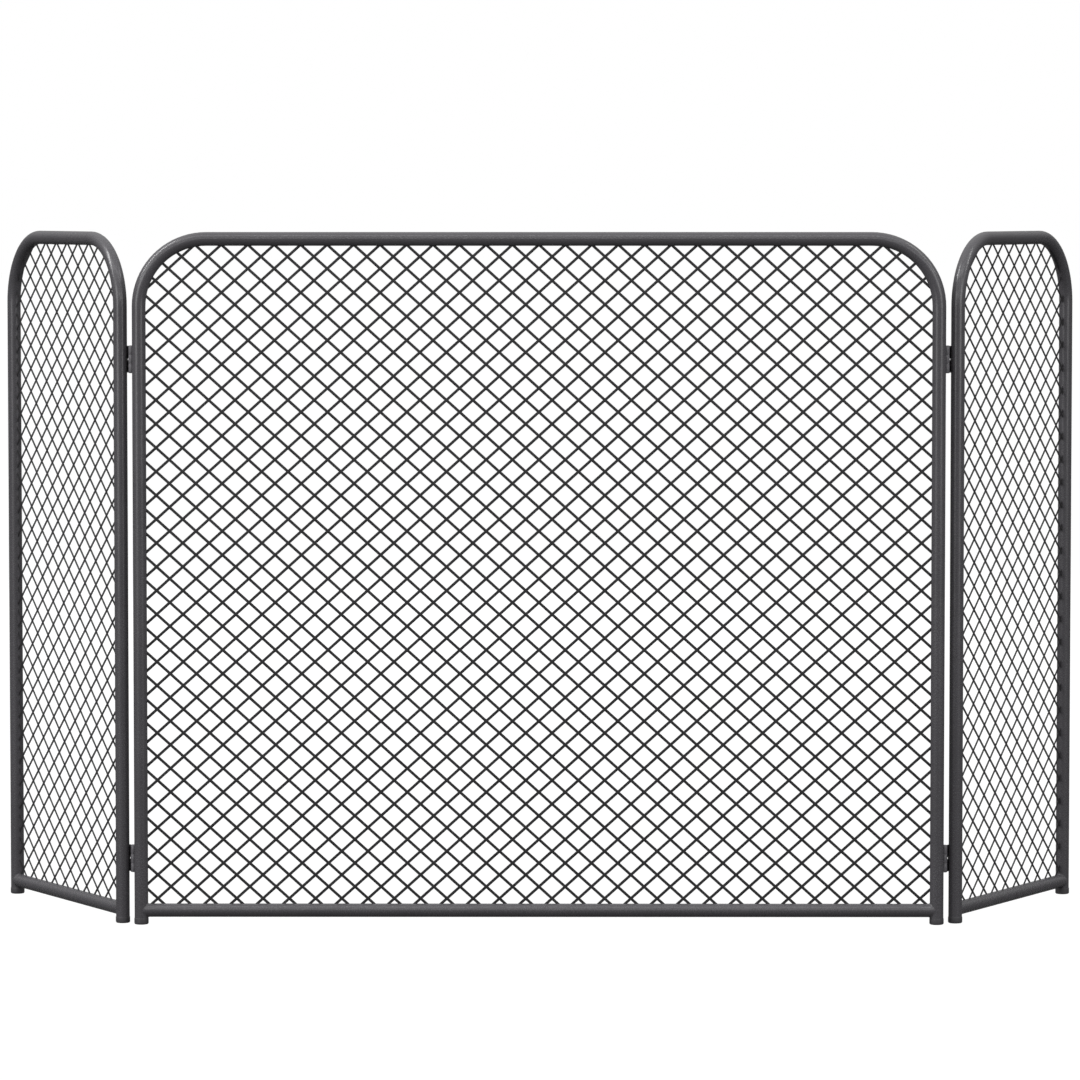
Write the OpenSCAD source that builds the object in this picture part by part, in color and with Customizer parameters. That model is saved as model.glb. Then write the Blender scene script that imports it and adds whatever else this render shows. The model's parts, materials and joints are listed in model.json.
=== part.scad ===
// Folding fireplace screen: a wide centre panel and two narrow wings that fold on hinge pins.
// X runs along the centre panel, Y points to the fire, Z is up from the floor.

/* [Panels] */
// Overall width of the centre panel, over its legs
centre_w = 782.1; // [400:0.1:1200]
// Overall width of each wing, over its legs
wing_w = 265.1; // [180:0.1:380]
// Height of the top of the frames above the floor
panel_h = 668.3; // [400:0.1:1000]
// How far each wing is turned back from the plane of the centre panel, in degrees
wing_fold = 60.5; // [0:0.5:90]

/* [Tube] */
// Outside diameter of the bent tube
tube_d = 13.3; // [10:0.1:20]
// Wall thickness of all tubes
tube_wall = 1.2; // [0.8:0.1:2.5]
// Radius of the bent corners, to the middle of the tube
corner_r = 65; // [40:1:80]
// Outside diameter of the bottom rails
rail_d = 13; // [9:0.1:19]
// Gap between the top of the end caps and the underside of the bottom rails
rail_above_foot = 1; // [0:0.1:50]

/* [Mesh] */
// Width of one diamond, from crossing to crossing
diamond_w = 25.4; // [15:0.1:50]
// Height of one diamond, from crossing to crossing
diamond_h = 22.95; // [15:0.05:50]
// Width of a strand
strand_w = 2.7; // [1:0.1:6]
// Thickness of the mesh, both layers of strands together
mesh_t = 0.6; // [0.4:0.1:3]
// Height of a crossing above the bottom rail, on the middle line of the centre panel
centre_crossing_z = 16.5; // [0:0.1:50]
// Distance of a crossing in the left wing from the axis of its inner leg
left_crossing_x = 8; // [0:0.1:50]
// Distance of a crossing in the right wing from the axis of its inner leg
right_crossing_x = 13.8; // [0:0.1:50]
// Height of these crossings above the bottom rails of the wings
wing_crossing_z = 6.2; // [0:0.1:50]

/* [Feet] */
// How far the end cap under each leg stands out past the tube
foot_lip = 0.3; // [0.1:0.1:2]
// Height of the end cap below the leg
foot_h = 6; // [3:0.1:20]
// Radius of the lower rim of the end cap
foot_rim = 1.5; // [0.5:0.1:2.5]
// Length of the plug that holds the cap in the leg
plug_l = 12; // [5:0.5:30]

/* [Hinges] */
// Height of the middle of the lower hinges above the floor
lower_hinge_z = 63; // [50:1:150]
// Distance from the start of the bent corners down to the middle of the upper hinges
upper_hinge_drop = 50.7; // [20:0.1:150]
// Length of the barrel
barrel_l = 25.8; // [15:0.1:50]
// Diameter of the barrel
barrel_d = 5.5; // [5:0.1:8]
// Diameter of the hinge pin
pin_d = 2.5; // [1.5:0.1:3]
// Diameter of the heads of the hinge pin
pin_head_d = 5.2; // [3.2:0.1:6]
// Thickness of the heads of the hinge pin
pin_head_h = 0.5; // [0.4:0.1:2]
// Thickness of the leaves
leaf_t = 1; // [0.8:0.1:1.3]
// Width of a leaf, from the pin axis
leaf_w = 12; // [9:0.1:16]
// Diameter of the screw hole in each leaf
leaf_hole_d = 2.8; // [1:0.1:3]
// Gap between the legs of the centre panel and a wing when the screen is opened flat
leg_gap = 2.6; // [2:0.1:6]

/* [Fits] */
// Radial clearance between the hinge pin and its knuckles
pin_clearance = 0.05; // [0.02:0.01:0.1]
// Radial clearance between a plug and the bore of its leg
plug_clearance = 0.1; // [0:0.05:0.4]
// Gap between two knuckles of one barrel
knuckle_gap = 0.3; // [0.1:0.1:1]
// Gap between a leaf and the knuckle of the other leaf
leaf_clearance = 0.3; // [0.1:0.1:0.6]
// Gap between the two leaves when a wing is folded flat behind the centre panel
closed_gap = 0.6; // [0.2:0.1:2]
// Gap between a screw hole and the barrel
leaf_hole_gap = 1.1; // [0.2:0.1:2]

/* [Hidden] */
$fn = 64;

frame_color = [0.13, 0.13, 0.14];
mesh_color = [0.09, 0.09, 0.10];
foot_color = [0.10, 0.10, 0.11];
hinge_color = [0.06, 0.06, 0.07];

left = -1;
right = 1;

// A cutter reaches this far past the face that it opens
cut = 1;

tube_r = tube_d / 2;
rail_r = rail_d / 2;
foot_r = tube_r + foot_lip;
barrel_r = barrel_d / 2;
bore_r = pin_d / 2 + pin_clearance;

// From leg axis to leg axis
centre_span = centre_w - tube_d;
wing_span = wing_w - tube_d;

// Axes of the top and bottom of a frame
top_z = panel_h - tube_r;
bend_z = top_z - corner_r;
rail_z = foot_h + rail_above_foot + rail_r;
mesh_base_z = rail_z + rail_r;
upper_hinge_z = bend_z - upper_hinge_drop;

// The pin axis, sideways and back from the nearest leg axis of the centre panel
pin_dx = tube_r + leg_gap / 2;
pin_dy = tube_r + leaf_t + closed_gap / 2;
pin_x = centre_span / 2 + pin_dx;

// The depth of the whole screen, which is centred on the origin
outer_leg_y = pin_dy * (1 - cos(wing_fold)) + (pin_dx + wing_span) * sin(wing_fold);
centre_y = -outer_leg_y / 2;

knuckle_l = (barrel_l - 2 * knuckle_gap) / 3;
leaf_hole_x = barrel_r + leaf_hole_gap + leaf_hole_d / 2;

// ---- One panel: X from the axis of one leg to the axis of the other ----

// The solid path of the bent tube at radius r, with its legs starting at height z
module bent_path(span, r, z) {
    for (x = [0, span]) translate([x, 0, z]) cylinder(r = r, h = bend_z - z);
    translate([corner_r, 0, top_z]) rotate([0, 90, 0]) cylinder(r = r, h = span - 2 * corner_r);
    translate([span - corner_r, 0, bend_z]) bend(r);
    translate([corner_r, 0, bend_z]) mirror([1, 0, 0]) bend(r);
}

module bend(r) {
    rotate([90, 0, 0]) rotate_extrude(angle = 90) translate([corner_r, 0]) circle(r);
}

module frame(span) {
    color(frame_color)
        difference() {
            bent_path(span, tube_r, foot_h);
            bent_path(span, tube_r - tube_wall, foot_h - cut);
        }
}

// A straight tube with both ends coped to the legs
module bottom_rail(span) {
    color(frame_color)
        difference() {
            translate([0, 0, rail_z]) rotate([0, 90, 0]) cylinder(r = rail_r, h = span);
            translate([-cut, 0, rail_z]) rotate([0, 90, 0])
                cylinder(r = rail_r - tube_wall, h = span + 2 * cut);
            for (x = [0, span]) translate([x, 0, rail_z - tube_d]) cylinder(r = tube_r, h = 2 * tube_d);
        }
}

// The space inside the frame, flat, from the inner side of one leg and the top of the bottom rail
module mesh_outline(span) {
    w = span - tube_d;
    h = top_z - tube_r - mesh_base_z;
    r = corner_r - tube_r;
    square([w, h - r]);
    translate([r, 0]) square([w - 2 * r, h]);
    for (x = [r, w - r]) translate([x, h - r]) circle(r);
}

// The parallel strands of one layer. Rising strands climb with X; one crossing lies at x0, z0.
module strands(span, x0, z0, rising) {
    w = span - tube_d;
    h = top_z - tube_r - mesh_base_z;
    lean = diamond_w / diamond_h * (rising ? 1 : -1);
    ends = [-z0 * lean, (h - z0) * lean];
    first = ceil((-x0 - max(ends)) / diamond_w);
    last = floor((w - x0 - min(ends)) / diamond_w);
    slope = atan(diamond_h / diamond_w) * (rising ? 1 : -1);
    intersection() {
        mesh_outline(span);
        union()
            for (k = [first : last])
                translate([x0 + k * diamond_w, z0]) rotate(slope)
                    square([4 * (w + h), strand_w], center = true);
    }
}

// The front layer rises with X and the rear layer falls; they meet on the middle plane of the tube
module mesh_layer(span, x0, z0, front) {
    color(mesh_color)
        translate([tube_r, front ? 0 : mesh_t / 2, mesh_base_z]) rotate([90, 0, 0])
            linear_extrude(mesh_t / 2) strands(span, x0, z0, front);
}

// An end cap: a collar with a rounded lower rim, and a plug in the bore of the leg
module foot(x) {
    color(foot_color)
        translate([x, 0, 0]) rotate_extrude() {
            square([foot_r - foot_rim, foot_h]);
            translate([0, foot_rim]) square([foot_r, foot_h - foot_rim]);
            translate([foot_r - foot_rim, foot_rim]) intersection() {
                circle(foot_rim);
                translate([0, -foot_rim]) square(2 * foot_rim);
            }
            square([tube_r - tube_wall - plug_clearance, foot_h + plug_l]);
        }
}

// ---- Hinges: the pin axis is Z, the leaf lies along +X, and z 0 is the middle of the barrel ----

// Knuckles are numbered from the bottom: the centre leaf has 0 and 2, the wing leaf has 1
module knuckles(numbers, r) {
    for (n = numbers)
        translate([0, 0, -barrel_l / 2 + n * (knuckle_l + knuckle_gap)]) cylinder(r = r, h = knuckle_l);
}

// The room that the other leaf's knuckles turn in
module knuckle_room(numbers) {
    for (n = numbers)
        translate([0, 0, -barrel_l / 2 + n * (knuckle_l + knuckle_gap) - knuckle_gap])
            cylinder(r = barrel_r + leaf_clearance, h = knuckle_l + 2 * knuckle_gap);
}

// The plate lies against the back of the tube, whose axis is pin_dy in front of the pin axis
module leaf(own, other) {
    color(hinge_color)
        difference() {
            union() {
                knuckles(own, barrel_r);
                difference() {
                    translate([0, tube_r - pin_dy, -barrel_l / 2]) cube([leaf_w, leaf_t, barrel_l]);
                    knuckle_room(other);
                }
            }
            translate([0, 0, -barrel_l]) cylinder(r = bore_r, h = 2 * barrel_l);
            translate([leaf_hole_x, 0, 0]) rotate([90, 0, 0])
                cylinder(d = leaf_hole_d, h = 2 * pin_dy, center = true);
        }
}

module pin() {
    color(hinge_color) {
        cylinder(d = pin_d, h = barrel_l, center = true);
        for (z = [-barrel_l / 2 - pin_head_h, barrel_l / 2])
            translate([0, 0, z]) cylinder(d = pin_head_d, h = pin_head_h);
    }
}

// ---- Places ----

// Right as modelled, left as its mirror image
module on_side(side) {
    mirror([side == left ? 1 : 0, 0, 0]) translate([0, centre_y, 0]) children();
}

module in_centre() { translate([-centre_span / 2, centre_y, 0]) children(); }

module at_pin(side, z) { on_side(side) translate([pin_x, pin_dy, z]) children(); }

module in_wing(side) {
    at_pin(side, 0) rotate(wing_fold) translate([pin_dx, -pin_dy, 0]) children();
}

// ---- The pieces ----

module centre_frame() { in_centre() frame(centre_span); }
module centre_bottom_rail() { in_centre() bottom_rail(centre_span); }
module centre_mesh(front) {
    in_centre() mesh_layer(centre_span, centre_span / 2 - tube_r, centre_crossing_z, front);
}
module centre_foot(side) { in_centre() foot(side == left ? 0 : centre_span); }

module wing_frame(side) { in_wing(side) frame(wing_span); }
module wing_bottom_rail(side) { in_wing(side) bottom_rail(wing_span); }
module wing_mesh(side, front) {
    crossing_x = side == left ? left_crossing_x : right_crossing_x;
    in_wing(side) mesh_layer(wing_span, crossing_x - tube_r, wing_crossing_z, front);
}
module wing_foot_inner(side) { in_wing(side) foot(0); }
module wing_foot_outer(side) { in_wing(side) foot(wing_span); }

module hinge_centre_leaf(side, z) { at_pin(side, z) mirror([1, 0, 0]) leaf([0, 2], [1]); }
module hinge_wing_leaf(side, z) { at_pin(side, z) rotate(wing_fold) leaf([1], [0, 2]); }
module hinge_pin(side, z) { at_pin(side, z) pin(); }

centre_frame();
centre_bottom_rail();
centre_mesh(true);  // centre_mesh_front_strands
centre_mesh(false);  // centre_mesh_rear_strands
centre_foot(left);  // centre_foot_left
centre_foot(right);  // centre_foot_right

wing_frame(left);  // left_wing_frame
wing_bottom_rail(left);  // left_wing_bottom_rail
wing_mesh(left, true);  // left_wing_mesh_front_strands
wing_mesh(left, false);  // left_wing_mesh_rear_strands
wing_foot_inner(left);  // left_wing_foot_inner
wing_foot_outer(left);  // left_wing_foot_outer

wing_frame(right);  // right_wing_frame
wing_bottom_rail(right);  // right_wing_bottom_rail
wing_mesh(right, true);  // right_wing_mesh_front_strands
wing_mesh(right, false);  // right_wing_mesh_rear_strands
wing_foot_inner(right);  // right_wing_foot_inner
wing_foot_outer(right);  // right_wing_foot_outer

hinge_centre_leaf(left, upper_hinge_z);  // upper_left_hinge_centre_leaf
hinge_wing_leaf(left, upper_hinge_z);  // upper_left_hinge_wing_leaf
hinge_pin(left, upper_hinge_z);  // upper_left_hinge_pin
hinge_centre_leaf(left, lower_hinge_z);  // lower_left_hinge_centre_leaf
hinge_wing_leaf(left, lower_hinge_z);  // lower_left_hinge_wing_leaf
hinge_pin(left, lower_hinge_z);  // lower_left_hinge_pin
hinge_centre_leaf(right, upper_hinge_z);  // upper_right_hinge_centre_leaf
hinge_wing_leaf(right, upper_hinge_z);  // upper_right_hinge_wing_leaf
hinge_pin(right, upper_hinge_z);  // upper_right_hinge_pin
hinge_centre_leaf(right, lower_hinge_z);  // lower_right_hinge_centre_leaf
hinge_wing_leaf(right, lower_hinge_z);  // lower_right_hinge_wing_leaf
hinge_pin(right, lower_hinge_z);  // lower_right_hinge_pin
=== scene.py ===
# %% [markdown]
# # Folding fireplace screen
#
# The screen is three panels of bent round tube. Each panel is filled with a diamond mesh, and
# the two narrow wings turn on hinge pins at the sides of the wide centre panel. The packed
# model gives the size and the place of every node, so this lesson only adds smooth shapes,
# small workshop details and finishes, in metres.

# %% Load the frame
import json
import math

import bmesh
import bpy
from mathutils import Matrix, Vector


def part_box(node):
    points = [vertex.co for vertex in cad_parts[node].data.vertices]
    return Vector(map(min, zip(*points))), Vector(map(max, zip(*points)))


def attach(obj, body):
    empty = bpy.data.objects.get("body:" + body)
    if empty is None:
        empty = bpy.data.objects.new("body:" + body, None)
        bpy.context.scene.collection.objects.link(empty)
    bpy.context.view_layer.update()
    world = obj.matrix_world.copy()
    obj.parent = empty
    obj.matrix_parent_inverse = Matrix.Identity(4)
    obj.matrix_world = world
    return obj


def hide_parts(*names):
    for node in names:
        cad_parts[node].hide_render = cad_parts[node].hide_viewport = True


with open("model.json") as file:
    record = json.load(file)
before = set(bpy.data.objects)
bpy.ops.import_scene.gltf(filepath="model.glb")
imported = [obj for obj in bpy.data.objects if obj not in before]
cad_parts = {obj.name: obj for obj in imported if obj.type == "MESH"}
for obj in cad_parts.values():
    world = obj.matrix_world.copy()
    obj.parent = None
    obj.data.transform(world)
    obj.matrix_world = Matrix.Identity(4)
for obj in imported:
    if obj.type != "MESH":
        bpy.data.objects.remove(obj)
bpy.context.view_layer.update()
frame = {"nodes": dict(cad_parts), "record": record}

MM = 0.001

# %% [markdown]
# ## Where the panels stand
#
# Every foot is round, so the middle of its box is the axis of a leg. Two leg axes fix a panel:
# the first one is the panel's origin, and its X axis points at the second. All three panels can
# then be made with the same functions, lying in their own XZ plane, and set in place at the end.

# %% Panels


def leg_axis(foot):
    """The point on the floor under the leg that stands in this foot."""
    low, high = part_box(foot)
    return Vector(((low.x + high.x) / 2, (low.y + high.y) / 2, 0))


class Panel:
    """A panel's name, body, span from leg axis to leg axis, and place."""

    def __init__(self, name, body, first_foot, second_foot, crossing):
        start, end = leg_axis(first_foot), leg_axis(second_foot)
        along = (end - start).normalized()
        up = Vector((0, 0, 1))
        self.name, self.body, self.span = name, body, (end - start).length
        self.place = Matrix((along, up.cross(along), up)).transposed().to_4x4()
        self.place.translation = start
        self.feet = (first_foot, second_foot)
        self.crossing = crossing  # along the panel and above its rail, to one crossing of strands


tube_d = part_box("centre_frame")[1].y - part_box("centre_frame")[0].y
tube_r = tube_d / 2
panel_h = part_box("centre_frame")[1].z
rail_low, rail_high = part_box("centre_bottom_rail")
rail_r = (rail_high.z - rail_low.z) / 2
rail_z = (rail_high.z + rail_low.z) / 2
foot_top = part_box("centre_frame")[0].z

centre_span = (leg_axis("centre_foot_right") - leg_axis("centre_foot_left")).length
panels = [
    Panel("centre", "centre_panel", "centre_foot_left", "centre_foot_right",
          (centre_span / 2, 16.5 * MM)),
    Panel("left_wing", "left_wing", "left_wing_foot_inner", "left_wing_foot_outer",
          (8.0 * MM, 6.2 * MM)),
    Panel("right_wing", "right_wing", "right_wing_foot_inner", "right_wing_foot_outer",
          (13.8 * MM, 6.2 * MM)),
]
for panel in panels:
    print(panel.name, "span %.1f mm" % (panel.span / MM))

# %% [markdown]
# ## Camera
#
# A long lens from five metres keeps the legs upright and the tubes round. It looks slightly
# down, at the middle of the screen.

# %% Camera
eye_distance, eye_h, eye_aside = 5.1932, 0.7071, 0.0190
tilt_down, turn_left = math.radians(3.689), math.radians(0.198)
camera_data = bpy.data.cameras.new("camera")
camera_data.lens = 180.2
camera_data.sensor_width = 36
camera_data.clip_end = 100
camera = bpy.data.objects.new("camera", camera_data)
bpy.context.scene.collection.objects.link(camera)
bpy.context.scene.camera = camera
panel_y = leg_axis("centre_foot_left").y
camera.location = (eye_aside, panel_y - eye_distance, eye_h)
camera.rotation_euler = (math.pi / 2 - tilt_down, 0, turn_left)
print("camera: %.0f mm lens, %.2f m in front of the centre panel" % (camera_data.lens,
                                                                   eye_distance))

# %% [markdown]
# ## Arithmetic on sockets
#
# A finish is easier to read as a formula than as a row of nodes. The class below wraps one
# socket, and its operators add the Math node that the formula needs. Everything else is added
# by one method, which sets the node's own settings first and then its sockets.

# %% Socket class and finish class


class Value:
    """A number that changes over the surface."""

    def __init__(self, finish, socket):
        self.finish, self.socket = finish, socket

    def math(self, operation, first, second):
        return self.finish.node("ShaderNodeMath", {"operation": operation}, {0: first, 1: second})

    def __add__(self, other):
        return self.math("ADD", self, other)

    def __sub__(self, other):
        return self.math("SUBTRACT", self, other)

    def __rsub__(self, other):
        return self.math("SUBTRACT", other, self)

    def __mul__(self, other):
        return self.math("MULTIPLY", self, other)

    __radd__, __rmul__ = __add__, __mul__


class Finish:
    """A material that is built by formulas, on Object coordinates."""

    def __init__(self, name, **fixed):
        self.material = bpy.data.materials.new(name)
        self.material.use_nodes = True
        self.tree = self.material.node_tree
        self.shader = self.tree.nodes["Principled BSDF"]
        for socket, number in fixed.items():
            self.shader.inputs[socket.replace("_", " ")].default_value = number
        self.place = self.node("ShaderNodeTexCoord", output="Object")

    def node(self, kind, settings=None, sockets=None, output=0):
        node = self.tree.nodes.new(kind)
        for name, setting in (settings or {}).items():
            setattr(node, name, setting)
        for name, value in (sockets or {}).items():
            if isinstance(value, Value):
                self.tree.links.new(value.socket, node.inputs[name])
            else:
                node.inputs[name].default_value = value
        return Value(self, node.outputs[output])

    def noise(self, size, detail=2.0, roughness=0.5):
        """Cloudy values from 0 to 1 whose patches are about size across."""
        return self.node("ShaderNodeTexNoise", {}, {
            "Vector": self.place, "Scale": 1 / size, "Detail": detail, "Roughness": roughness})

    def band(self, value, low, high):
        """0 below low, 1 above high and a smooth step between."""
        return self.node("ShaderNodeMapRange", {"interpolation_type": "SMOOTHSTEP"}, {
            "Value": value, "From Min": low, "From Max": high})

    def mix(self, factor, first, second):
        """From the first colour to the second."""
        return self.node("ShaderNodeMix", {"data_type": "RGBA"},
                         {0: factor, 6: first, 7: second}, output=2)

    def feed(self, socket, value):
        self.tree.links.new(value.socket, self.shader.inputs[socket])

    def bump(self, height, depth):
        """A bump whose height runs from 0 to 1 over depth metres."""
        self.feed("Normal", self.node("ShaderNodeBump", {}, {"Height": height, "Distance": depth}))


def charcoal(level):
    """A grey of that level with the faint violet cast of the powder."""
    return (1.04 * level, level, 1.09 * level, 1)


print("formulas are ready")

# %% [markdown]
# ## Powder coat on the tubes
#
# The tubes are sprayed with a charcoal powder and baked. The powder flows into a satin skin
# with a fine orange peel, about a millimetre from bump to bump, and it is never quite even:
# the tone drifts a little over a hand's width, and single grains stay slightly lighter. Two
# noises make the tone, and a third, much finer one is the bump.

# %% Frame coat
GRAIN = (0.45, 0.75)  # the noise values between which a grain rises
frame_coat = Finish("satin charcoal powder coat")
drift = frame_coat.noise(70 * MM)
grain = frame_coat.band(frame_coat.noise(0.7 * MM, detail=1), *GRAIN)
frame_coat.feed("Base Color", frame_coat.mix(
    drift * 0.8 + grain * 0.2, charcoal(0.056), charcoal(0.080)))
frame_coat.feed("Roughness", 0.24 + drift * 0.05 + grain * 0.03)
peel = frame_coat.noise(1.3 * MM, detail=1, roughness=0.4)
frame_coat.bump(peel + grain * 0.25, 0.005 * MM)
print(frame_coat.material.name)

# %% [markdown]
# ## Coat on the mesh
#
# The strands are narrow. Their coat is given a much darker colour than the tubes', which is
# painted shade for strands that catch little light, and it is rougher, with a close grain.

# %% Mesh coat
mesh_coat = Finish("charcoal coat on strands")
drift = mesh_coat.noise(60 * MM)
grain = mesh_coat.band(mesh_coat.noise(0.5 * MM, detail=1), *GRAIN)
# painted shade: the strands are coloured far darker than the tubes, though the powder is the same
mesh_coat.feed("Base Color", mesh_coat.mix(
    drift * 0.5 + grain * 0.5, charcoal(0.010), charcoal(0.022)))
mesh_coat.feed("Roughness", 0.40 + drift * 0.08 + grain * 0.08)
mesh_coat.bump(grain, 0.012 * MM)
print(mesh_coat.material.name)

# %% [markdown]
# ## End caps
#
# The caps are moulded in dark grey plastic with a faint spark-eroded grain, which scatters the
# light a little more than the coat on the tubes does. The lower rim is scuffed by the hearth.

# %% Cap plastic
scuff_h = 1.6 * MM
cap_plastic = Finish("dark grey moulded plastic", IOR=1.46)
spark = cap_plastic.noise(0.35 * MM, detail=2)
height = cap_plastic.node("ShaderNodeSeparateXYZ", {}, {0: cap_plastic.place}, output=2)
scuff = (1 - cap_plastic.band(height, 0.0, scuff_h)) * cap_plastic.band(
    cap_plastic.noise(2 * MM, detail=3), 0.42, 0.62)
cap_plastic.feed("Base Color", cap_plastic.mix(
    spark * 0.5 + scuff * 0.5, charcoal(0.040), charcoal(0.075)))
cap_plastic.feed("Roughness", 0.48 + spark * 0.1 + scuff * 0.15)
cap_plastic.bump(spark, 0.02 * MM)
print(cap_plastic.material.name)

# %% [markdown]
# ## Hinges
#
# The hinges are small steel ones, sprayed with the frames. The leaves sit back between the tubes
# and get a very dark, slightly speckled colour, which is painted shade. The barrel stands out in
# the gap and gets a much lighter and smoother coat, which is painted light. How far a point lies
# from the pin tells the barrel from the leaves, and the pin itself is found in the frame.

# %% Hinge coat
barrel_r, leaf_from_r = 2.8 * MM, 3.1 * MM  # painted light up to the first, painted shade beyond the second
hinge_coat = Finish("satin charcoal hinge coat")
speckle = hinge_coat.noise(0.8 * MM, detail=2)
pin_low, pin_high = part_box("upper_right_hinge_pin")
pin_x, pin_y = (pin_low.x + pin_high.x) / 2, (pin_low.y + pin_high.y) / 2
across = hinge_coat.node("ShaderNodeSeparateXYZ", {}, {0: hinge_coat.place}, output=0)
along = hinge_coat.node("ShaderNodeSeparateXYZ", {}, {0: hinge_coat.place}, output=1)
across = across.math("ABSOLUTE", across, 0) - pin_x
along = along - pin_y
painted_lit_barrel = 1 - hinge_coat.band(across * across + along * along, barrel_r ** 2, leaf_from_r ** 2)
# painted light on the barrel and painted shade on the leaves: light grey near the pin, near black
# beyond
hinge_coat.feed("Base Color", hinge_coat.mix(
    painted_lit_barrel * 0.8 + speckle * 0.2, charcoal(0.022), charcoal(0.125)))
hinge_coat.feed("Roughness", 0.48 - painted_lit_barrel * 0.06 + speckle * 0.06)
hinge_coat.bump(speckle, 0.008 * MM)
print(hinge_coat.material.name)

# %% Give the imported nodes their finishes
finish_of_slot = {"frame_coating": frame_coat, "mesh_coating": mesh_coat,
                  "foot_plastic": cap_plastic, "hinge_coating": hinge_coat}
for part in frame["record"]["subparts"]:
    mesh = frame["nodes"][part["node"]].data
    mesh.materials.clear()
    mesh.materials.append(finish_of_slot[part["material_slot"]].material)

# %% [markdown]
# ## From a bmesh to a piece
#
# Each piece is made in its panel's own plane with bmesh operators. One function then sets it
# in place, smooths it everywhere but at its sharp edges, and says which body it moves with and
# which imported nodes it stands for.

# %% Finish a piece
SHARP = math.radians(38)  # an edge that turns more than this is not smoothed


def make_piece(name, shape, place, body, slot, nodes):
    """Turns a bmesh into a named object that rides on a body and stands for these nodes."""
    bmesh.ops.transform(shape, matrix=place, verts=shape.verts)
    for face in shape.faces:
        face.smooth = True
    for edge in shape.edges:
        edge.smooth = not (edge.is_manifold and edge.calc_face_angle() > SHARP)
    data = bpy.data.meshes.new(name)
    shape.to_mesh(data)
    open_edges = sum(not edge.is_manifold for edge in shape.edges)
    shape.free()
    data.materials.append(finish_of_slot[slot].material)
    piece = bpy.data.objects.new(name, data)
    bpy.context.scene.collection.objects.link(piece)
    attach(piece, body)
    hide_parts(*nodes)
    print("%s: %d faces, %d open edges" % (name, len(data.polygons), open_edges))


def ring_edges(verts):
    """The edges between these vertices."""
    inside = set(verts)
    return [e for e in {e for v in verts for e in v.link_edges} if set(e.verts) <= inside]


def run(shape, edges, way):
    """Extrudes a ring along a straight line, and gives the ring at its end."""
    new = bmesh.ops.extrude_edge_only(shape, edges=edges)["geom"]
    verts = [g for g in new if isinstance(g, bmesh.types.BMVert)]
    bmesh.ops.translate(shape, verts=verts, vec=way)
    return ring_edges(verts)


print("pieces can be made")

# %% [markdown]
# ## Bent frames
#
# A real frame is one length of tube, a little over half an inch thick. It runs up one leg,
# round a bender with a 65 mm radius, across the top, round the bender again and down the other
# leg. The mesh is made in the same order: a circle is extruded up, spun through a quarter turn,
# extruded across, spun and extruded down. Solidify then gives the tube its wall, inwards.

# %% Frames
corner_r = 65 * MM
tube_wall = 1.2 * MM
bend_z = panel_h - tube_r - corner_r
ROUND = 40  # sides of a round tube
BEND_STEPS = 20  # rings in a quarter turn


def quarter_turn(shape, edges, centre):
    """Spins a ring round a corner of the frame, and gives the ring at its end."""
    verts = list({v for e in edges for v in e.verts})
    new = bmesh.ops.spin(shape, geom=verts + edges, cent=centre, axis=(0, 1, 0),
                         angle=math.pi / 2, steps=BEND_STEPS, use_duplicate=False)["geom_last"]
    return ring_edges([g for g in new if isinstance(g, bmesh.types.BMVert)])


def bent_tube(span):
    shape = bmesh.new()
    ring = bmesh.ops.create_circle(shape, segments=ROUND, radius=tube_r)["verts"]
    bmesh.ops.translate(shape, verts=ring, vec=(0, 0, foot_top))
    edges = run(shape, ring_edges(ring), (0, 0, bend_z - foot_top))
    edges = quarter_turn(shape, edges, (corner_r, 0, bend_z))
    edges = run(shape, edges, (span - 2 * corner_r, 0, 0))
    edges = quarter_turn(shape, edges, (span - corner_r, 0, bend_z))
    run(shape, edges, (0, 0, foot_top - bend_z))
    bmesh.ops.recalc_face_normals(shape, faces=shape.faces)
    bmesh.ops.solidify(shape, geom=shape.faces[:], thickness=tube_wall)
    return shape


for panel in panels:
    make_piece(panel.name + "_bent_tube", bent_tube(panel.span), panel.place, panel.body,
               "frame_coating", [panel.name + "_frame"])

# %% [markdown]
# ## Bottom rails
#
# A bottom rail is cut to fit round the legs and is welded to them. The saddle is made by moving
# each end vertex onto the round leg, and the weld is a low bead in the last two millimetres,
# which stands out above and below the rail, where two tubes of nearly one size leave room.

# %% Rails
weld_steps = [(0.0, 0.75), (0.35, 0.38), (0.9, 0.12), (1.9, 0.0)]  # from the leg, stands out, mm


def coped_rail(span):
    shape = bmesh.new()
    first = bmesh.ops.create_circle(shape, segments=ROUND, radius=rail_r)["verts"]
    bmesh.ops.rotate(shape, verts=first, matrix=Matrix.Rotation(math.pi / 2, 3, "Y"))
    rings, edges = [first], ring_edges(first)
    for _ in range(2 * len(weld_steps) - 1):
        edges = run(shape, edges, (0, 0, 0))
        rings.append(list({v for e in edges for v in e.verts}))
    ends = [(1, step) for step in weld_steps] + [(-1, step) for step in reversed(weld_steps)]
    for (side, (away, bead)), ring in zip(ends, rings):
        for v in ring:
            saddle = math.sqrt(max(tube_r ** 2 - v.co.y ** 2, 0)) + away * MM
            v.co.x = saddle if side == 1 else span - saddle
            v.co.z *= 1 + bead * MM / rail_r
    bmesh.ops.translate(shape, verts=shape.verts, vec=(0, 0, rail_z))
    bmesh.ops.recalc_face_normals(shape, faces=shape.faces)
    bmesh.ops.solidify(shape, geom=shape.faces[:], thickness=tube_wall)
    return shape


for panel in panels:
    make_piece(panel.name + "_coped_rail", coped_rail(panel.span), panel.place, panel.body,
               "frame_coating", [panel.name + "_bottom_rail"])

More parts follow.
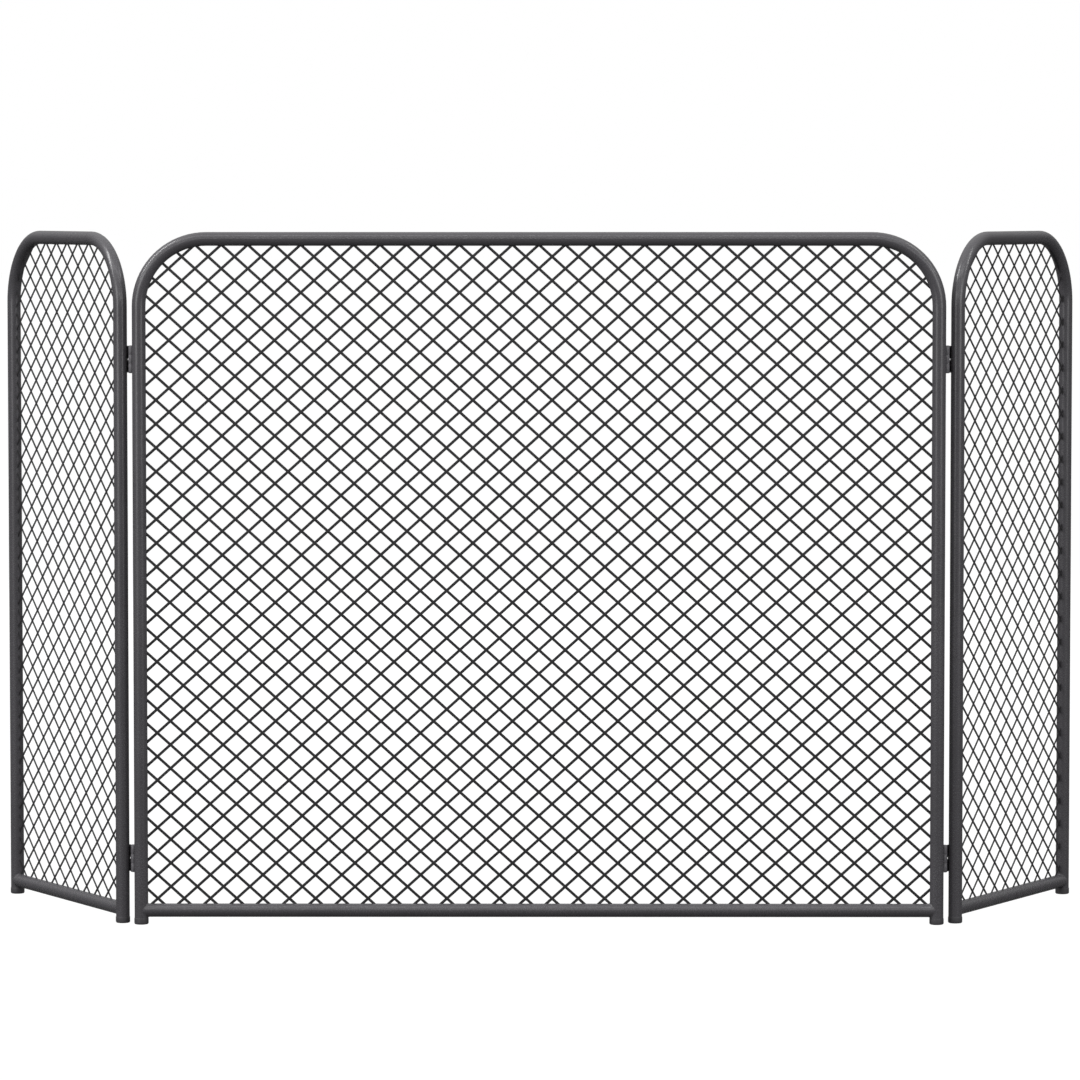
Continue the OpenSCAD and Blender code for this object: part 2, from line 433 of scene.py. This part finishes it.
# %% [markdown]
# ## Diamond mesh
#
# The strands of each panel cross in one plane, as in a sheet of steel that diamonds were
# pressed out of. A grid is turned and squeezed until its cells are diamonds, and every cell is
# inset twice: once for the soft crown of a strand and once for its rounded shoulder. The cells
# that remain are the openings, and they are deleted. The sheet is then trimmed to the inside
# of the frame, plane by plane, and mirrored to get its back.

# %% Mesh
diamond_w, diamond_h = 25.4 * MM, 22.95 * MM
strand_w, sheet_t = 2.7 * MM, 0.6 * MM
crown_w, crown_fall, shoulder_fall = 0.8 * MM, 0.06 * MM, 0.14 * MM
TRIMS = 24  # planes that trim one rounded corner
SAME_POINT = 1e-7  # vertices closer than this are one


def diamond_grid(panel, low, high):
    """A flat grid of diamonds, larger than the box from low to high, with a crossing in place."""
    start = Vector((panel.crossing[0], 0, rail_z + rail_r + panel.crossing[1]))
    middle = (low + high) / 2 - start
    across, up = middle.x / diamond_w, middle.z / diamond_h
    u, v = round(up + across), round(up - across)
    half = math.ceil((high.x - low.x) / 2 / diamond_w + (high.z - low.z) / 2 / diamond_h) + 2
    shape = bmesh.new()
    bmesh.ops.create_grid(shape, x_segments=2 * half, y_segments=2 * half, size=half)
    step_u = Vector((diamond_w / 2, 0, diamond_h / 2))
    step_v = Vector((-diamond_w / 2, 0, diamond_h / 2))
    turn = Matrix((step_u, step_v, Vector((0, -1, 0)))).transposed().to_4x4()
    turn.translation = start + u * step_u + v * step_v
    bmesh.ops.transform(shape, matrix=turn, verts=shape.verts)
    outside = [f for f in shape.faces if not all(
        low[i] - diamond_w < f.calc_center_median()[i] < high[i] + diamond_w for i in (0, 2))]
    bmesh.ops.delete(shape, geom=outside, context="FACES")
    return shape


def trim(shape, point, outward, faces):
    """Cuts these faces at a plane and removes what is beyond it."""
    geom = list({g for f in faces for g in (*f.verts, *f.edges, f)})
    bmesh.ops.bisect_plane(shape, geom=geom, plane_co=point, plane_no=outward, clear_outer=True,
                           dist=SAME_POINT)


def diamond_sheet(panel):
    low = Vector((tube_r, 0, rail_z + rail_r))
    high = Vector((panel.span - tube_r, 0, panel_h - tube_d))
    shape = diamond_grid(panel, low, high)
    cells = shape.faces[:]
    for width, fall in ((crown_w, crown_fall), (strand_w / 2 - crown_w, shoulder_fall)):
        bmesh.ops.inset_individual(shape, faces=cells, thickness=width, depth=-fall,
                                   use_even_offset=True)
    bmesh.ops.delete(shape, geom=cells, context="FACES")
    for point, outward in ((low, (-1, 0, 0)), (low, (0, 0, -1)), (high, (1, 0, 0)),
                           (high, (0, 0, 1))):
        trim(shape, point, outward, shape.faces)
    for side, x in ((-1, corner_r), (1, panel.span - corner_r)):
        centre = Vector((x, 0, bend_z))
        for i in range(TRIMS):
            angle = math.pi / 2 * (i + 0.5) / TRIMS
            outward = Vector((side * math.cos(angle), 0, math.sin(angle)))
            corner = [f for f in shape.faces if f.calc_center_median().z > bend_z - diamond_h
                      and (f.calc_center_median().x - x) * side > -diamond_w]
            trim(shape, centre + (corner_r - tube_r) * outward, outward, corner)
    bmesh.ops.translate(shape, verts=shape.verts, vec=(0, -sheet_t / 2, 0))
    rims = bmesh.ops.extrude_edge_only(shape, edges=[e for e in shape.edges if e.is_boundary])
    walls = [g for g in rims["geom"] if isinstance(g, bmesh.types.BMVert)]
    bmesh.ops.scale(shape, vec=(1, 0, 1), verts=walls)
    bmesh.ops.mirror(shape, geom=shape.verts[:] + shape.edges[:] + shape.faces[:],
                     axis="Y", merge_dist=-1)
    bmesh.ops.remove_doubles(shape, verts=shape.verts, dist=SAME_POINT)
    bmesh.ops.recalc_face_normals(shape, faces=shape.faces)
    return shape


for panel in panels:
    make_piece(panel.name + "_diamond_mesh", diamond_sheet(panel), panel.place, panel.body,
               "mesh_coating", ["%s_mesh_%s_strands" % (panel.name, layer)
                                for layer in ("front", "rear")])

# %% [markdown]
# ## End caps
#
# Each leg ends in a plastic cap. Its plug fills the tube, and its collar stands a little proud
# of it, with a soft lower rim. It is a turned shape, so half of its section is drawn as a few
# vertices and spun round the leg's axis.

# %% Feet


def turned(section, steps=ROUND):
    """Spins a half section, given as (radius, height) pairs, round the Z axis."""
    shape = bmesh.new()
    verts = [shape.verts.new((r, 0, z)) for r, z in section]
    edges = [shape.edges.new(pair) for pair in zip(verts, verts[1:])]
    bmesh.ops.spin(shape, geom=verts + edges, cent=(0, 0, 0), axis=(0, 0, 1),
                   angle=2 * math.pi, steps=steps, use_merge=True)
    bmesh.ops.remove_doubles(shape, verts=shape.verts, dist=SAME_POINT)
    bmesh.ops.recalc_face_normals(shape, faces=shape.faces)
    return shape


def rounded(radius, height, size, first, steps=5):
    """The points of a quarter circle of that size round (radius, height), from an angle."""
    return [(radius + size * math.cos(a), height + size * math.sin(a)) for a in
            (math.radians(first + 90 * i / steps) for i in range(steps + 1))]


foot_low, foot_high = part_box("centre_foot_left")
foot_r = (foot_high.x - foot_low.x) / 2
rim_r, lip_r, plug_gap = 1.5 * MM, 0.3 * MM, 0.1 * MM
plug_r = tube_r - tube_wall - plug_gap
cap_section = ([(0, 0)] + rounded(foot_r - rim_r, rim_r, rim_r, -90)
               + rounded(foot_r - lip_r, foot_top - lip_r, lip_r, 0)
               + [(plug_r, foot_top), (plug_r, foot_high.z), (0, foot_high.z)])
for panel in panels:
    for foot in panel.feet:
        make_piece(foot.replace("foot", "end_cap"), turned(cap_section),
                   Matrix.Translation(leg_axis(foot)), panel.body, "foot_plastic", [foot])

# %% [markdown]
# ## Hinge leaves
#
# A leaf is stamped from plate, and its knuckles are rolled round the pin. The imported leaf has
# the right shape but knife-sharp edges, so a copy of its mesh is welded, its flat faces are
# joined again, and every sharp edge gets the small round that stamping leaves.

# %% Leaves
stamped_round = 0.14 * MM
SAME_PACKED_POINT = 2e-6  # packed vertices closer than this are one
FLAT, CORNER = math.radians(1), math.radians(40)  # faces joined below, edges rounded above


def softened(node):
    """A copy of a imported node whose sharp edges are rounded."""
    shape = bmesh.new()
    shape.from_mesh(frame["nodes"][node].data)
    bmesh.ops.remove_doubles(shape, verts=shape.verts, dist=SAME_PACKED_POINT)
    bmesh.ops.dissolve_limit(shape, angle_limit=FLAT, verts=shape.verts, edges=shape.edges)
    sharp = [e for e in shape.edges if e.is_manifold and e.calc_face_angle() > CORNER]
    bmesh.ops.bevel(shape, geom=sharp, offset=stamped_round, offset_type="OFFSET",
                    affect="EDGES", segments=2, profile=0.5, material=-1, clamp_overlap=True)
    return shape


hinges = [(level, side) for level in ("upper", "lower") for side in ("left", "right")]
for level, side in hinges:
    for leaf, body in (("centre_leaf", "centre_panel"), ("wing_leaf", side + "_wing")):
        node = "%s_%s_hinge_%s" % (level, side, leaf)
        make_piece("%s_%s_stamped_%s" % (level, side, leaf), softened(node), Matrix.Identity(4),
                   body, "hinge_coating", [node])

# %% [markdown]
# ## Hinge pins
#
# A pin is a piece of wire whose ends are struck into low round heads, so that it can't fall
# out. It is a turned shape too.

# %% Pins
pin_r, head_r, head_h = 1.25 * MM, 2.6 * MM, 0.5 * MM
PIN_ROUND = 32  # sides of a pin


def pin_section(length):
    """Half of the section of a pin, from the middle of one head to the middle of the other."""
    head = [(0, 0), (0.45, 0.03), (0.75, 0.14), (0.93, 0.40), (1, 0.72), (1, 1)]
    low = [(r * head_r, z * head_h) for r, z in head] + [(pin_r, head_h)]
    return low + [(r, length - z) for r, z in reversed(low)]


for level, side in hinges:
    node = "%s_%s_hinge_pin" % (level, side)
    low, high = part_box(node)
    foot_of_pin = Vector(((low.x + high.x) / 2, (low.y + high.y) / 2, low.z))
    make_piece("%s_%s_riveted_pin" % (level, side),
               turned(pin_section(high.z - low.z), PIN_ROUND),
               Matrix.Translation(foot_of_pin), "centre_panel", "hinge_coating", [node])

# %% [markdown]
# ## Floor and light
#
# The screen stands on a plain white floor in a bright studio. The floor reflects little and
# glows by itself, at about the backdrop's white, because a brighter one would wash out the
# thin strands in front of it. It neither lights the screen nor shows in its coat. Two wide
# lamps in front model the legs, and long narrow ones overhead and low in front draw the bright
# line along each rail. Two more, high at the sides, follow the bends, and one stands behind
# the screen. The room gets brighter towards the ceiling, as a studio with a white overhead
# does.

# %% Floor
floor_reach, floor_grey, floor_glow = 40, 0.05, 0.97
floor_mesh = bmesh.new()
bmesh.ops.create_grid(floor_mesh, x_segments=1, y_segments=1, size=floor_reach)
floor_data = bpy.data.meshes.new("floor")
floor_mesh.to_mesh(floor_data)
floor_mesh.free()
floor = bpy.data.objects.new("floor", floor_data)
bpy.context.scene.collection.objects.link(floor)
floor_paint = Finish("pale floor", Roughness=0.9, Specular_IOR_Level=0.0,
                     Base_Color=(floor_grey, floor_grey, floor_grey, 1),
                     Emission_Color=(1, 1, 1, 1), Emission_Strength=floor_glow)
floor_data.materials.append(floor_paint.material)
floor.visible_glossy = False
floor.visible_diffuse = False
print("floor")

# %% Lamps


def soft_light(name, place, aim, size, power):
    """A rectangular lamp of that power in watts, which points from place at aim."""
    data = bpy.data.lights.new(name, "AREA")
    data.shape, data.size, data.size_y, data.energy = "RECTANGLE", size[0], size[1], power
    lamp = bpy.data.objects.new(name, data)
    bpy.context.scene.collection.objects.link(lamp)
    lamp.location = place
    lamp.rotation_euler = (Vector(aim) - Vector(place)).to_track_quat("-Z", "Y").to_euler()
    return lamp


middle = (0, 0, panel_h / 2)
soft_light("front left", (-3.0, -3.2, 1.3), middle, (1.9, 2.0), 46)
soft_light("front right", (3.0, -3.2, 1.3), middle, (1.9, 2.0), 40)
soft_light("overhead", (-0.3, -1.5, 2.6), middle, (3.4, 0.16), 12)
soft_light("low strip", (0, -3.0, 1.45), middle, (2.6, 0.12), 9)
soft_light("upper left", (-3.2, -0.9, 3.3), (-0.35, 0, 0.6), (0.3, 2.6), 105)
soft_light("upper right", (3.2, -0.9, 3.3), (0.35, 0, 0.6), (0.3, 2.6), 34)
behind = soft_light("behind", (0, 4.2, 1.7), middle, (2.4, 1.8), 110)
behind.visible_camera = False
behind.visible_glossy = False
print("lamps")

# %% Room
world = bpy.data.worlds.new("room")
bpy.context.scene.world = world
world.use_nodes = True
room = world.node_tree
fill = room.nodes["Background"]
direction = room.nodes.new("ShaderNodeTexCoord")
height = room.nodes.new("ShaderNodeSeparateXYZ")
ceiling = room.nodes.new("ShaderNodeMapRange")
ceiling.interpolation_type = "SMOOTHSTEP"
ceiling.inputs["From Min"].default_value = -0.1
ceiling.inputs["To Min"].default_value = 0.10
ceiling.inputs["To Max"].default_value = 1.0
room.links.new(direction.outputs["Generated"], height.inputs[0])
room.links.new(height.outputs["Z"], ceiling.inputs["Value"])
room.links.new(ceiling.outputs["Result"], fill.inputs["Strength"])
fill.inputs["Color"].default_value = (1, 1, 1, 1)
backdrop = room.nodes.new("ShaderNodeBackground")
backdrop.inputs["Color"].default_value = (1, 1, 1, 1)
seen = room.nodes.new("ShaderNodeLightPath")
choice = room.nodes.new("ShaderNodeMixShader")
room.links.new(seen.outputs["Is Camera Ray"], choice.inputs[0])
room.links.new(fill.outputs[0], choice.inputs[1])
room.links.new(backdrop.outputs[0], choice.inputs[2])
room.links.new(choice.outputs[0], room.nodes["World Output"].inputs["Surface"])
bpy.context.scene.view_settings.view_transform = "Standard"
print("room")
